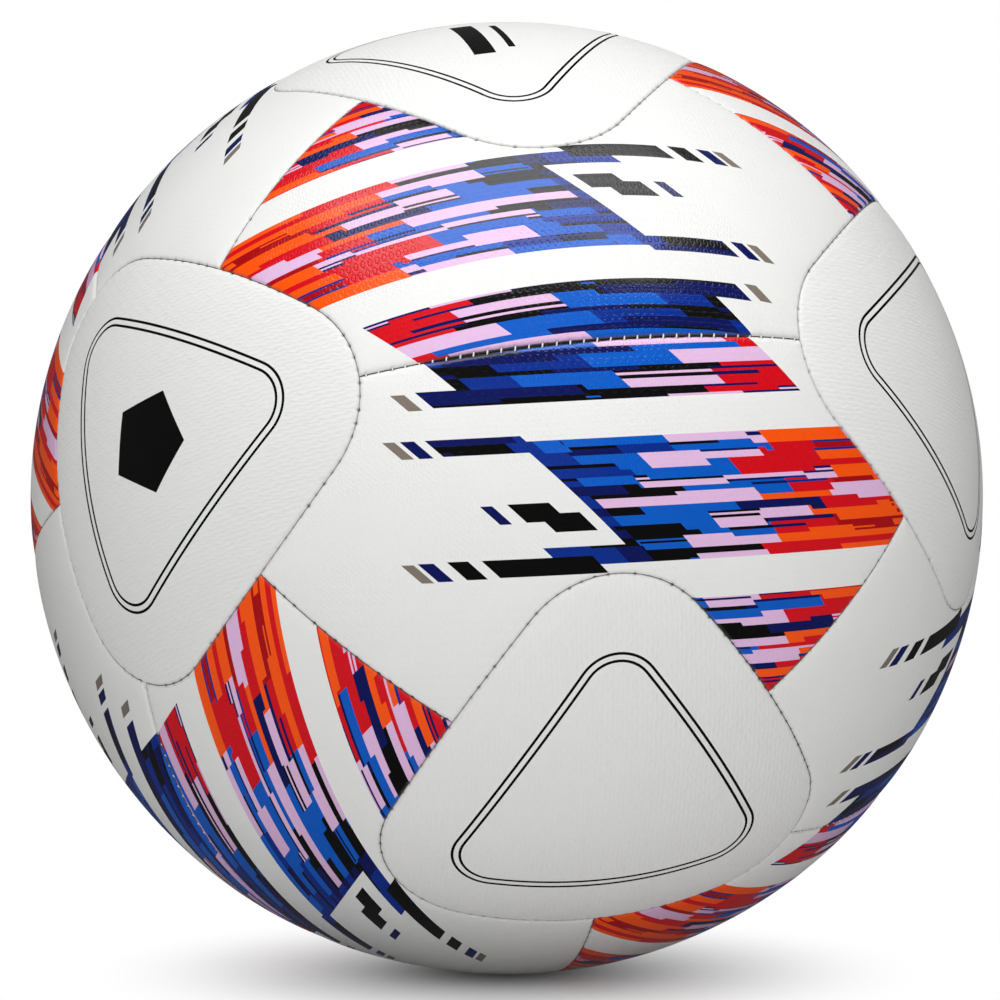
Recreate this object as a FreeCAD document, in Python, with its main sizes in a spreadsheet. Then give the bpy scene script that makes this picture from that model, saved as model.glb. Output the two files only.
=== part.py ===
"""Size 5 football: eight rounded triangle panels and twelve side panels, sewn together over a
rubber bladder with a needle valve. Millimetres; the origin is the ball's centre and +Z is up.

The panels follow a cube drawn on the ball. A triangle panel sits on each corner of the cube, and
its own corners point at the middles of the three faces that meet there. What is left of each
face is split along one diagonal into two side panels.
"""
import FreeCAD
import Part
import Sketcher
import itertools
import math
import os
import re
from FreeCAD import Placement, Rotation, Vector

doc = FreeCAD.newDocument("football")

DIMENSIONS = [
    ("ball_radius", 110.0, "outside of the cover"),
    ("cover_thickness", 1.2, "synthetic leather skin"),
    ("foam_thickness", 1.8, "foam under the skin"),
    ("lining_thickness", 0.8, "woven cloth under the foam"),
    ("layer_gap", 0.1, "air between two layers"),
    ("bladder_wall", 0.7, "rubber wall of the bladder"),
    ("bladder_gap", 0.2, "air between lining and bladder"),
    ("seam_half_gap", 0.15, "half of the opening between two skins"),
    ("channel_half_width", 1.0, "half of the thread channel under a seam"),
    ("flange_thickness", 0.8, "turned-in edge of a skin"),
    ("side_reach", 40.4, "triangle centre to the middle of a side"),
    ("side_radius", 160.0, "bulge of a triangle side"),
    ("corner_radius", 24.0, "round corner of a triangle"),
    ("thread_depth", 3.0, "thread centre below the ball surface"),
    ("thread_radius", 0.45, "waxed sewing thread"),
    ("thread_end_gap", 2.2, "thread end to the crossing seam"),
    ("neck_radius", 4.0, "valve neck in the cover"),
    ("neck_top", 109.6, "top of the valve neck"),
    ("hole_gap", 0.2, "air around the valve neck"),
    ("valve_flange_radius", 13.0, "rubber disc inside the bladder"),
    ("valve_flange_thickness", 1.4, "thickness of that disc"),
    ("boss_radius", 5.5, "rubber tube below the disc"),
    ("boss_bottom", 92.0, "lower end of that tube"),
    ("core_radius", 2.6, "stem of the valve core"),
    ("core_bottom", 90.0, "lower end of the valve core"),
    ("head_radius", 3.2, "head of the valve core"),
    ("head_bottom", 106.2, "underside of the head"),
    ("core_gap", 0.1, "air between core and valve body"),
    ("needle_radius", 1.25, "needle hole"),
    ("needle_depth", 9.0, "depth of the needle hole"),
    ("funnel_radius", 1.9, "mouth of the needle hole"),
    ("funnel_depth", 0.8, "depth of that mouth"),
    ("patch_radius", 16.0, "rubber patches on the bladder"),
    ("patch_thickness", 0.8, "thickness of the patches"),
    ("turn_yaw", -80.0, "degrees, the panel layout about Z"),
    ("turn_pitch", -20.8, "degrees, the panel layout about Y"),
    ("turn_roll", 49.7, "degrees, the panel layout about X"),
]

sheet = doc.addObject("Spreadsheet::Sheet", "Dimensions")
for row, (alias, value, meaning) in enumerate(DIMENSIONS, start=1):
    sheet.set("A%d" % row, alias)
    sheet.set("B%d" % row, str(value))
    sheet.set("C%d" % row, meaning)
    sheet.setAlias("B%d" % row, alias)
doc.recompute()


def size(alias):
    """The number in a cell."""
    return float(sheet.get(alias))


def formula(text):
    """An expression of the sheet: every alias in text gets the sheet's name before it."""
    aliases = "|".join(alias for alias, _, _ in DIMENSIONS)
    return re.sub(r"\b(%s)\b" % aliases, r"Dimensions.\1", text)


def value_of(text):
    """The number that a formula gives."""
    return float(sheet.evalExpression(formula(text)))


def bind(thing, name, text):
    """Tie a property to the sheet."""
    thing.setExpression(name, formula(text))


# Radii of the layers, from the skin inwards.
SKIN_IN = "(ball_radius - cover_thickness)"
FOAM_OUT = "(%s - layer_gap)" % SKIN_IN
FOAM_IN = "(%s - foam_thickness)" % FOAM_OUT
LINING_OUT = "(%s - layer_gap)" % FOAM_IN
LINING_IN = "(%s - lining_thickness)" % LINING_OUT
BLADDER_OUT = "(%s - bladder_gap)" % LINING_IN
BLADDER_IN = "(%s - bladder_wall)" % BLADDER_OUT
THREAD_LEVEL = "(ball_radius - thread_depth)"
CORNER_MIDDLE = (
    "(sqrt((side_radius - corner_radius)^2 - 0.75 * (side_radius - side_reach)^2)"
    " - (side_radius - side_reach) / 2)"
)

# Distances from the seam at which the outlines of the layers run.
SKIN_EDGE = "seam_half_gap"
FLANGE_OUTSIDE = "channel_half_width"
FLANGE_INSIDE = "(channel_half_width + flange_thickness)"
PAD_EDGE = "(%s + layer_gap)" % FLANGE_INSIDE

# Corners of the cube, by the name of the triangle panel that sits there.
CORNERS = {
    "top": Vector(1, 1, 1),
    "left": Vector(1, -1, 1),
    "lower_front": Vector(1, -1, -1),
    "right": Vector(1, 1, -1),
    "bottom": Vector(-1, -1, -1),
    "rear_left": Vector(-1, -1, 1),
    "rear_right": Vector(-1, 1, -1),
    "valve": Vector(-1, 1, 1),
}
# Cube faces, each with the two corners that its diagonal seam joins.
FACES = {
    "front": ("left", "right"),
    "lower_left": ("left", "bottom"),
    "upper_left": ("left", "valve"),
    "rear": ("rear_right", "rear_left"),
    "upper_right": ("rear_right", "top"),
    "lower_right": ("rear_right", "lower_front"),
}
VALVE_CORNER = "valve"
BALANCE_CORNER = "lower_front"
CUBE_EDGE_LIMIT = 2.5
EDGE_HALF_ANGLE = math.degrees(math.atan(math.sqrt(0.5)))
DIAGONAL_HALF_ANGLE = 90 - EDGE_HALF_ANGLE
REACH_PAST_BALL = 130.0
OUTLINE_START = 75.0
THREAD_STEP = 4
ORIGIN = Vector(0, 0, 0)

ball_turn = Rotation(size("turn_yaw"), size("turn_pitch"), size("turn_roll"))
sub_parts = []


def on_ball(rotation):
    """Placement in the ball of something built in a frame of its own."""
    return Placement(ORIGIN, ball_turn * rotation)


def frame_at(outward, across):
    """Rotation that takes local Z to outward and local X to the part of across at right angles."""
    z_axis = Vector(outward).normalize()
    x_axis = (across - z_axis * across.dot(z_axis)).normalize()
    return Rotation(x_axis, z_axis.cross(x_axis), z_axis, "ZXY")


def corner_frame(corner):
    """Local Z through the cube corner, local X towards the middle of a face."""
    return frame_at(corner, Vector(corner.x, 0, 0))


def face_middle(face):
    """Direction of the middle of a cube face."""
    ends = [CORNERS[name] for name in FACES[face]]
    return ends[0] + ends[1]


def face_corners(face):
    """The two corners of a face that aren't on its diagonal."""
    middle = face_middle(face)
    found = [name for name, corner in CORNERS.items() if corner.dot(middle) > 0]
    return [name for name in found if name not in FACES[face]]


def half_face_frame(face, apex):
    """Local Z through the middle of the face, with the apex corner at equal local X and Y."""
    z_axis = Vector(face_middle(face)).normalize()
    ends = [CORNERS[name] for name in FACES[face]]
    x_axis = (CORNERS[apex] - ends[0]).normalize()
    y_axis = (CORNERS[apex] - ends[1]).normalize()
    if x_axis.cross(y_axis).dot(z_axis) < 0:
        x_axis, y_axis = y_axis, x_axis
    return Rotation(x_axis, y_axis, z_axis, "ZXY")


# ---- building blocks -------------------------------------------------------------------------

def ball(name, radius):
    thing = doc.addObject("Part::Sphere", name)
    bind(thing, "Radius", radius)
    return thing


def boolean(kind, name, base, tool):
    """A Part::Cut, Part::Common or Part::Fuse of two objects."""
    thing = doc.addObject("Part::" + kind, name)
    thing.Base = base
    thing.Tool = tool
    return thing


def shell(name, outer, inner):
    return boolean("Cut", name, ball(name + "_outside", outer), ball(name + "_inside", inner))


def group(kind, name, things):
    """A Part::MultiCommon or Part::MultiFuse of several objects."""
    thing = doc.addObject("Part::" + kind, name)
    thing.Shapes = things
    return thing


def rounded_triangle(name, inset, rotation):
    """Upright prism with the outline of a triangle panel, drawn in by inset on every side."""
    sides = []
    for turn in (60, 180, 300):
        side = doc.addObject("Part::Cylinder", "%s_side_%d" % (name, turn))
        bind(side, "Radius", "side_radius - " + inset)
        side.Height = REACH_PAST_BALL - OUTLINE_START
        side.Placement.Base.z = OUTLINE_START
        bind(side, "Placement.Base.x", "(side_reach - side_radius) * %.9f" % math.cos(math.radians(turn)))
        bind(side, "Placement.Base.y", "(side_reach - side_radius) * %.9f" % math.sin(math.radians(turn)))
        sides.append(side)
    sharp = group("MultiCommon", name + "_sharp", sides)
    doc.recompute()
    radius = value_of("corner_radius - " + inset)
    upright = [
        number for number, edge in enumerate(sharp.Shape.Edges, start=1)
        if edge.Curve.TypeId == "Part::GeomLine"
    ]
    thing = doc.addObject("Part::Fillet", name)
    thing.Base = sharp
    thing.Edges = [(number, radius, radius) for number in upright]
    thing.Placement = Placement(ORIGIN, rotation)
    return thing


def half_space(name, inset, outward, along):
    """Block on the inner side of a plane through the ball's centre, moved in by inset."""
    block = doc.addObject("Part::Box", name)
    block.Length = 2 * REACH_PAST_BALL
    block.Width = 2 * REACH_PAST_BALL
    block.Height = 2 * REACH_PAST_BALL
    rotation = frame_at(outward * -1, along)
    middle = rotation.multVec(Vector(-REACH_PAST_BALL, -REACH_PAST_BALL, 0))
    inwards = rotation.multVec(Vector(0, 0, 1))
    block.Placement = Placement(middle, rotation)
    for axis in "xyz":
        start, step = getattr(middle, axis), getattr(inwards, axis)
        bind(block, "Placement.Base." + axis, "%.9f + %s * %.9f" % (start, inset, step))
    return block


def half_face(name, inset):
    """Wedge with the outline of a side panel, drawn in by inset on every side."""
    planes = group("MultiCommon", name + "_planes", [
        half_space(name + "_diagonal", inset, Vector(-1, -1, 0), Vector(0, 0, 1)),
        half_space(name + "_edge_x", inset, Vector(1, 0, -1), Vector(0, 1, 0)),
        half_space(name + "_edge_y", inset, Vector(0, 1, -1), Vector(1, 0, 0)),
    ])
    corners = [Vector(1, 1, 1), Vector(-1, 1, 1), Vector(1, -1, 1)]
    triangles = [
        rounded_triangle("%s_triangle_%d" % (name, number), "(0 - %s)" % inset, corner_frame(corner))
        for number, corner in enumerate(corners)
    ]
    return boolean("Cut", name, planes, group("MultiFuse", name + "_triangles", triangles))


def axial_hole(name, radius):
    """Cylinder along local Z for a hole through the middle of a triangle panel."""
    tool = doc.addObject("Part::Cylinder", name)
    bind(tool, "Radius", radius)
    tool.Height = REACH_PAST_BALL
    return tool


# ---- panels ----------------------------------------------------------------------------------

skin_shell = shell("skin_shell", "ball_radius", SKIN_IN)
flange_shell = shell("flange_shell", "(ball_radius - cover_thickness / 2)", LINING_IN)
foam_shell = shell("foam_shell", FOAM_OUT, FOAM_IN)
lining_shell = shell("lining_shell", LINING_OUT, LINING_IN)


def triangle_outline(name, inset):
    return rounded_triangle(name, inset, Rotation())


def panel_layers(name, outline):
    """Recipes for the cover (skin and turned-in edge), foam pad and lining of one outline."""
    skin = boolean("Common", name + "_skin", skin_shell, outline(name + "_skin_edge", SKIN_EDGE))
    ring = boolean(
        "Cut", name + "_ring",
        outline(name + "_ring_outside", FLANGE_OUTSIDE),
        outline(name + "_ring_inside", FLANGE_INSIDE),
    )
    flange = boolean("Common", name + "_flange", flange_shell, ring)
    pad_edge = outline(name + "_pad_edge", PAD_EDGE)
    return {
        "cover": ("Fuse", skin, flange),
        "foam": ("Common", foam_shell, pad_edge),
        "lining": ("Common", lining_shell, pad_edge),
    }


def placed(name, recipe, rotation):
    """One piece of a recipe, turned to its place on the ball."""
    kind, base, tool = recipe
    piece = boolean(kind, name, base, tool)
    piece.Placement = on_ball(rotation)
    return piece


def with_hole(name, recipe, hole):
    """The same recipe with a hole through its middle."""
    return ("Cut", boolean(recipe[0], name, recipe[1], recipe[2]), hole)


def finished(thing, label):
    """Register a sub-part under the name of its file."""
    thing.Label = label
    sub_parts.append(thing)
    return thing


def collect(label, pieces):
    """A group of separate solids in one sub-part."""
    whole = doc.addObject("Part::Compound", label + "_group")
    whole.Links = pieces
    finished(whole, label)


def build_triangle_panels():
    """Eight covers with their pads; the valve's panel has a hole, and two linings make room
    for the rubber patches on the bladder."""
    layers = panel_layers("triangle", triangle_outline)
    neck_hole = axial_hole("neck_hole", "neck_radius + hole_gap")
    patch_hole = axial_hole("patch_hole", "patch_radius + hole_gap")
    valve_cover = with_hole("valve_cover_whole", layers["cover"], neck_hole)
    valve_foam = with_hole("valve_foam_whole", layers["foam"], neck_hole)
    patch_lining = with_hole("patch_lining_whole", layers["lining"], patch_hole)
    foams = []
    linings = []
    for name, corner in CORNERS.items():
        frame = corner_frame(corner)
        cover = valve_cover if name == VALVE_CORNER else layers["cover"]
        foam = valve_foam if name == VALVE_CORNER else layers["foam"]
        lining = patch_lining if name in (VALVE_CORNER, BALANCE_CORNER) else layers["lining"]
        finished(placed(name + "_cover", cover, frame), "triangle_panel_" + name)
        foams.append(placed(name + "_foam", foam, frame))
        linings.append(placed(name + "_lining", lining, frame))
    collect("triangle_foam_pads", foams)
    collect("triangle_cloth_linings", linings)


def build_side_panels():
    """Twelve covers with their pads, two to each cube face, named by face and corner."""
    layers = panel_layers("side", half_face)
    foams = []
    linings = []
    for face in FACES:
        for apex in face_corners(face):
            name = "%s_by_%s" % (face, apex)
            frame = half_face_frame(face, apex)
            finished(placed(name + "_cover", layers["cover"], frame), "side_panel_" + name)
            foams.append(placed(name + "_foam", layers["foam"], frame))
            linings.append(placed(name + "_lining", layers["lining"], frame))
    collect("side_foam_pads", foams)
    collect("side_cloth_linings", linings)


# ---- sewing threads --------------------------------------------------------------------------

def outline_point(angle):
    """Point of the triangle seam whose outward normal has this angle, in the triangle's plane."""
    disc_shift = size("side_radius") - size("side_reach")
    corner_middle = value_of(CORNER_MIDDLE)
    half_corner = math.degrees(math.asin(
        disc_shift * math.sin(math.radians(60)) / (size("side_radius") - size("corner_radius"))
    ))
    nearest_corner = 120 * round(angle / 120)
    if abs(angle - nearest_corner) <= half_corner:
        centre = Rotation(nearest_corner, 0, 0).multVec(Vector(corner_middle, 0, 0))
        radius = size("corner_radius")
    else:
        side = 120 * math.floor(angle / 120) + 60
        centre = Rotation(side, 0, 0).multVec(Vector(-disc_shift, 0, 0))
        radius = size("side_radius")
    return centre + Rotation(angle, 0, 0).multVec(Vector(radius, 0, 0))


def triangle_thread():
    """Round thread along the outline of a triangle panel, its two ends a step apart."""
    level = value_of(THREAD_LEVEL)
    path_points = []
    for angle in range(0, 360, THREAD_STEP):
        flat = outline_point(angle)
        path_points.append(Vector(flat.x, flat.y, math.sqrt(level ** 2 - flat.Length ** 2)))
    path = Part.BSplineCurve()
    path.interpolate(Points=path_points)
    direction = path.tangent(path.FirstParameter)[0]
    profile = Part.Wire(Part.makeCircle(size("thread_radius"), path_points[0], direction))
    return Part.Wire(path.toShape()).makePipeShell([profile], True, True)


def build_triangle_threads():
    shape = triangle_thread()
    loops = []
    for name, corner in CORNERS.items():
        loop = doc.addObject("Part::Feature", name + "_thread")
        loop.Shape = shape
        loop.Placement = on_ball(corner_frame(corner))
        loops.append(loop)
    collect("triangle_seam_threads", loops)


def arc_thread(name, middle, plane_normal, half_angle, stop_reach):
    """Thread along a great circle, centred on middle, that stops short of the triangle seams."""
    arc = doc.addObject("Part::Torus", name)
    bind(arc, "Radius1", THREAD_LEVEL)
    bind(arc, "Radius2", "thread_radius")
    stop = "asin((%s + thread_end_gap) / ball_radius) / 1 deg" % stop_reach
    bind(arc, "Angle3", "2 * (%.6f - %s)" % (half_angle, stop))
    doc.recompute()
    turn = Rotation(Vector(0, 0, 1), -arc.Angle3.Value / 2)
    arc.Placement = on_ball(frame_at(plane_normal, middle) * turn)
    return arc


def build_straight_threads():
    """One thread down the diagonal of each cube face, and one along each cube edge."""
    diagonals = []
    for face, (first, second) in FACES.items():
        normal = CORNERS[first].cross(CORNERS[second])
        corner_reach = "(%s + corner_radius)" % CORNER_MIDDLE
        diagonals.append(arc_thread(
            face + "_diagonal_thread", face_middle(face), normal, DIAGONAL_HALF_ANGLE, corner_reach,
        ))
    edges = []
    for first, second in itertools.combinations(CORNERS, 2):
        start, end = CORNERS[first], CORNERS[second]
        if start.distanceToPoint(end) < CUBE_EDGE_LIMIT:
            edges.append(arc_thread(
                "%s_%s_thread" % (first, second), start + end, start.cross(end),
                EDGE_HALF_ANGLE, "side_reach",
            ))
    collect("diagonal_seam_threads", diagonals)
    collect("edge_seam_threads", edges)


# ---- bladder, valve and patches ---------------------------------------------------------------

def build_bladder():
    """Hollow rubber ball with an opening for the valve neck."""
    wall = shell("bladder_wall_shell", BLADDER_OUT, BLADDER_IN)
    opening = axial_hole("bladder_opening", "neck_radius + core_gap")
    bladder = boolean("Cut", "bladder_body", wall, opening)
    bladder.Placement = on_ball(corner_frame(CORNERS[VALVE_CORNER]))
    finished(bladder, "bladder")


def build_patches():
    """Rubber discs on the bladder: a ring around the valve and its counterweight opposite."""
    outer = "(%s + layer_gap + patch_thickness)" % BLADDER_OUT
    patch_shell = shell("patch_shell", outer, "(%s + layer_gap)" % BLADDER_OUT)
    disc = ("Common", patch_shell, axial_hole("patch_edge", "patch_radius"))
    ring = with_hole("ring_patch_whole", disc, axial_hole("ring_hole", "neck_radius + hole_gap"))
    valve_frame = corner_frame(CORNERS[VALVE_CORNER])
    balance_frame = corner_frame(CORNERS[BALANCE_CORNER])
    finished(placed("valve_patch_body", ring, valve_frame), "valve_reinforcing_patch")
    finished(placed("balance_patch_body", disc, balance_frame), "balance_patch")


def turned_body(label, corners):
    """Body turned about the valve's axis. corners holds the (radius, height) formulas of the
    outline, where height runs outwards from the ball's centre."""
    body = doc.addObject("PartDesign::Body", label + "_body")
    sketch = body.newObject("Sketcher::SketchObject", label + "_profile")
    plane = next(item for item in body.Origin.OriginFeatures if item.Role == "XZ_Plane")
    sketch.AttachmentSupport = [(plane, "")]
    sketch.MapMode = "FlatFace"
    points = [Vector(value_of(radius), value_of(height), 0) for radius, height in corners]
    count = len(points)
    for number in range(count):
        sketch.addGeometry(Part.LineSegment(points[number], points[(number + 1) % count]))
    for number in range(count):
        sketch.addConstraint(Sketcher.Constraint("Coincident", number, 2, (number + 1) % count, 1))
    for number, (radius, height) in enumerate(corners):
        hold(sketch, number, "DistanceY", "height_%d" % number, points[number].y, height)
        if radius == "0":
            sketch.addConstraint(Sketcher.Constraint("PointOnObject", number, 1, -2))
        else:
            hold(sketch, number, "DistanceX", "radius_%d" % number, points[number].x, radius)
    turn = body.newObject("PartDesign::Revolution", label + "_turned")
    turn.Profile = sketch
    turn.ReferenceAxis = (sketch, ["V_Axis"])
    turn.Angle = 360
    body.Placement = on_ball(corner_frame(CORNERS[VALVE_CORNER]))
    finished(body, label)


def hold(sketch, number, kind, name, value, text):
    """Hold the start of a line at a distance from the sketch's origin, given by a formula."""
    place = sketch.addConstraint(Sketcher.Constraint(kind, -1, 1, number, 1, value))
    sketch.renameConstraint(place, name)
    bind(sketch, "Constraints." + name, text)


def under_bladder(radius):
    """Height of the valve disc's upper side at a radius: it follows the inside of the bladder."""
    return "sqrt((%s - layer_gap)^2 - %s^2)" % (BLADDER_IN, radius)


def build_valve():
    """Rubber body held by its disc under the bladder wall, and the soft core with a needle hole."""
    bore = "core_radius + core_gap"
    seat = "head_radius + core_gap"
    seat_bottom = "head_bottom - core_gap"
    turned_body("valve_body", [
        (bore, "boss_bottom"),
        ("boss_radius", "boss_bottom"),
        ("boss_radius", under_bladder("boss_radius") + " - valve_flange_thickness"),
        ("valve_flange_radius", under_bladder("valve_flange_radius") + " - valve_flange_thickness"),
        ("valve_flange_radius", under_bladder("valve_flange_radius")),
        ("neck_radius", under_bladder("neck_radius")),
        ("neck_radius", "neck_top"),
        (seat, "neck_top"),
        (seat, seat_bottom),
        (bore, seat_bottom),
    ])
    turned_body("valve_core", [
        ("0", "core_bottom"),
        ("core_radius / 2", "core_bottom"),
        ("core_radius", "core_bottom + core_radius / 2"),
        ("core_radius", "head_bottom"),
        ("head_radius", "head_bottom"),
        ("head_radius", "neck_top"),
        ("funnel_radius", "neck_top"),
        ("needle_radius", "neck_top - funnel_depth"),
        ("needle_radius", "neck_top - needle_depth"),
        ("0", "neck_top - needle_depth"),
    ])


# ---- check and write ---------------------------------------------------------------------------

def check_and_write():
    """Stop on any failed object or bad shape, then write one STEP file for each sub-part."""
    doc.recompute()
    for thing in doc.Objects:
        if "Invalid" in thing.State or "Error" in thing.State:
            raise RuntimeError("%s failed: %s" % (thing.Name, thing.State))
    for part in sub_parts:
        if part.Shape.isNull() or not part.Shape.isValid() or part.Shape.Volume <= 0:
            raise RuntimeError("%s has no sound shape" % part.Label)
    os.makedirs("parts", exist_ok=True)
    for part in sub_parts:
        part.Shape.exportStep("parts/%s.step" % part.Label)
        print("%-34s %3d solids %10.1f mm3" % (part.Label, len(part.Shape.Solids), part.Shape.Volume))


build_triangle_panels()
build_side_panels()
build_triangle_threads()
build_straight_threads()
build_bladder()
build_patches()
build_valve()
check_and_write()
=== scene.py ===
"""Looks of a sewn soccer ball: its leather covers, their sewing, materials, studio and camera."""

import math

import bpy
import numpy as np
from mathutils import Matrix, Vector
from mathutils.geometry import delaunay_2d_cdt


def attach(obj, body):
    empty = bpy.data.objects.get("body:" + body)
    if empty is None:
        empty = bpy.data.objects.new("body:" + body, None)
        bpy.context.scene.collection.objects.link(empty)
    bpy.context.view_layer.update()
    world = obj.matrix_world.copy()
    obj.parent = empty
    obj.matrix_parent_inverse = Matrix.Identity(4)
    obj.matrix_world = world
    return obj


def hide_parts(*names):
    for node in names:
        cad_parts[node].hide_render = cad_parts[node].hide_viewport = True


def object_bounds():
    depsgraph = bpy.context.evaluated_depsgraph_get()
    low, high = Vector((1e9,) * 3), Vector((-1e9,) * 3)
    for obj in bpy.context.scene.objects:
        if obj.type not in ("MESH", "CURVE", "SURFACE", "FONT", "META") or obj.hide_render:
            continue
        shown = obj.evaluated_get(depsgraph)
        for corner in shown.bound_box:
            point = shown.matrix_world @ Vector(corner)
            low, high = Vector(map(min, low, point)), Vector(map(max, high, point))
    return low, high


MM = 0.001

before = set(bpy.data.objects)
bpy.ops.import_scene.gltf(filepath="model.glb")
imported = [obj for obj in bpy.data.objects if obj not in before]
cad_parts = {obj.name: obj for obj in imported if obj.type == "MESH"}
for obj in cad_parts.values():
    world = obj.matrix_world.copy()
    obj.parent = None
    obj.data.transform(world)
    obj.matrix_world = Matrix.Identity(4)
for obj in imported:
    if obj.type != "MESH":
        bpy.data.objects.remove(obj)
cad_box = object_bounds()
RADIUS = (cad_box[1].x - cad_box[0].x) / 2 / MM

# ---- layout of the ball -----------------------------------------------------------------------
# Lengths are in millimetres until a mesh is made, and angles are in radians unless a name says
# otherwise. The panels follow a cube: a rounded triangle on each corner, two side panels on each
# face, one each side of its diagonal.

CORNERS = {
    "top": (1, 1, 1),
    "left": (1, -1, 1),
    "lower_front": (1, -1, -1),
    "right": (1, 1, -1),
    "bottom": (-1, -1, -1),
    "rear_left": (-1, -1, 1),
    "rear_right": (-1, 1, -1),
    "valve": (-1, 1, 1),
}
# Each side panel: the corner at its orange end, the corner at its dashed end, and its apex corner.
SIDE_PANELS = {
    "front_by_top": ("left", "right", "top"),
    "front_by_lower_front": ("right", "left", "lower_front"),
    "lower_left_by_lower_front": ("left", "bottom", "lower_front"),
    "lower_left_by_rear_left": ("bottom", "left", "rear_left"),
    "upper_left_by_rear_left": ("left", "valve", "rear_left"),
    "upper_left_by_top": ("valve", "left", "top"),
    "rear_by_bottom": ("rear_right", "rear_left", "bottom"),
    "rear_by_valve": ("rear_left", "rear_right", "valve"),
    "upper_right_by_valve": ("rear_right", "top", "valve"),
    "upper_right_by_right": ("top", "rear_right", "right"),
    "lower_right_by_right": ("rear_right", "lower_front", "right"),
    "lower_right_by_bottom": ("lower_front", "rear_right", "bottom"),
}
VALVE_CORNER = "valve"

# Outline of a triangle panel, in the plane across its axis.
SIDE_REACH = 40.4
SIDE_RADIUS = 160.0
CORNER_RADIUS = 24.0
# The line printed inside it.
PRINT_REACH = 24.7
PRINT_SIDE_RADIUS = 240.0
PRINT_CORNER_RADIUS = 9.4

COVER_THICKNESS = 1.2
HOLE_RADIUS = 4.2
STITCHES_PER_THIRD = 34
STITCHES_ON_DIAGONAL = 34
STITCHES_ON_EDGE = 18

EDGE_HALF_ANGLE = math.atan(math.sqrt(0.5))
DIAGONAL_HALF_ANGLE = math.pi / 2 - EDGE_HALF_ANGLE
THIRD = math.radians(120)

# How the leather rolls into each kind of seam: half the gap, the depth and width of the shoulder,
# how far a stitch opens the edge, how far the seam yawns along its middle, and the thread's level.
PLAIN_SEAM = {"gap": 0.03, "depth": 0.42, "width": 0.85, "open": 0.2, "yawn": 0.0, "thread": 1.35}
OPEN_SEAM = {"gap": 0.05, "depth": 0.75, "width": 1.2, "open": 0.12, "yawn": 0.3, "thread": 0.8}
HOLE_EDGE = {"gap": 0.0, "depth": 0.7, "width": 0.9, "open": 0.0, "yawn": 0.0, "thread": 0.0}
# A yawning seam closes towards its ends, between these distances from them.
YAWN_FADE = (12.0, 24.0)


def unit(v):
    v = np.asarray(v, float)
    return v / np.linalg.norm(v, axis=-1, keepdims=True)


def corner(name):
    return unit(CORNERS[name])


def beside(points, sideways, distance):
    """Points on the unit sphere, moved along it by a distance."""
    turn = distance / RADIUS
    return np.cos(turn) * points + np.sin(turn) * sideways


def rounded_triangle(reach, side_radius, corner_radius):
    """Numbers of an outline of three wide arcs joined by three corner arcs."""
    shift = side_radius - reach
    between = side_radius - corner_radius
    return {
        "shift": shift,
        "middle": math.sqrt(between ** 2 - 0.75 * shift ** 2) - shift / 2,
        "half_corner": math.asin(shift * math.sin(THIRD / 2) / between),
        "side_radius": side_radius,
        "corner_radius": corner_radius,
    }


SEAM_TRIANGLE = rounded_triangle(SIDE_REACH, SIDE_RADIUS, CORNER_RADIUS)
PRINT_TRIANGLE = rounded_triangle(PRINT_REACH, PRINT_SIDE_RADIUS, PRINT_CORNER_RADIUS)
TIP_ANGLE = math.asin((SEAM_TRIANGLE["middle"] + CORNER_RADIUS) / RADIUS)
REACH_ANGLE = math.asin(SIDE_REACH / RADIUS)


def polar(radius, angle):
    return np.stack([radius * np.cos(angle), radius * np.sin(angle)], -1)


def nearest_axes(angle):
    """Angles of the corner and of the side that are nearest to an angle."""
    return THIRD * np.round(angle / THIRD), THIRD * np.floor(angle / THIRD) + THIRD / 2


def outline_point(shape, angle):
    """Flat points of an outline whose outward normals have these angles."""
    nearest, side = nearest_axes(angle)
    on_corner = np.abs(angle - nearest) <= shape["half_corner"]
    centre = np.where(
        on_corner[..., None], polar(shape["middle"], nearest), polar(-shape["shift"], side))
    return centre + polar(np.where(on_corner, shape["corner_radius"], shape["side_radius"]), angle)


def outline_distance(shape, flat):
    """Distance of flat points outside an outline, negative inside, and the normal's angle there."""
    nearest, side = nearest_axes(np.arctan2(flat[:, 1], flat[:, 0]))
    from_corner = flat - polar(shape["middle"], nearest)
    from_side = flat - polar(-shape["shift"], side)
    corner_angle = np.arctan2(from_corner[:, 1], from_corner[:, 0])
    side_angle = np.arctan2(from_side[:, 1], from_side[:, 0])
    off_axis = np.abs((corner_angle - nearest + math.pi) % (2 * math.pi) - math.pi)
    on_corner = off_axis <= shape["half_corner"]
    distance = np.where(
        on_corner,
        np.hypot(*from_corner.T) - shape["corner_radius"],
        np.hypot(*from_side.T) - shape["side_radius"],
    )
    return distance, np.where(on_corner, corner_angle, side_angle)


# ---- seams ------------------------------------------------------------------------------------

class StraightSeam:
    """A seam along a great circle. It runs along cross(normal, middle), its panel on the left."""

    closed = False

    def __init__(self, middle, normal, half_angle, stitches, look):
        self.middle = unit(middle)
        self.normal = unit(normal)
        self.along = np.cross(self.normal, self.middle)
        self.half_angle = half_angle
        self.length = 2 * half_angle * RADIUS
        self.stitches = stitches
        self.look = look

    def at(self, s):
        """Points at these lengths along the seam, and the directions from there into the panel."""
        turn = np.asarray(s, float)[..., None] / RADIUS - self.half_angle
        points = np.cos(turn) * self.middle + np.sin(turn) * self.along
        return points, np.broadcast_to(self.normal, points.shape)

    def distance(self, points):
        return RADIUS * np.arcsin(np.clip(points @ self.normal, -1, 1))


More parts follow.
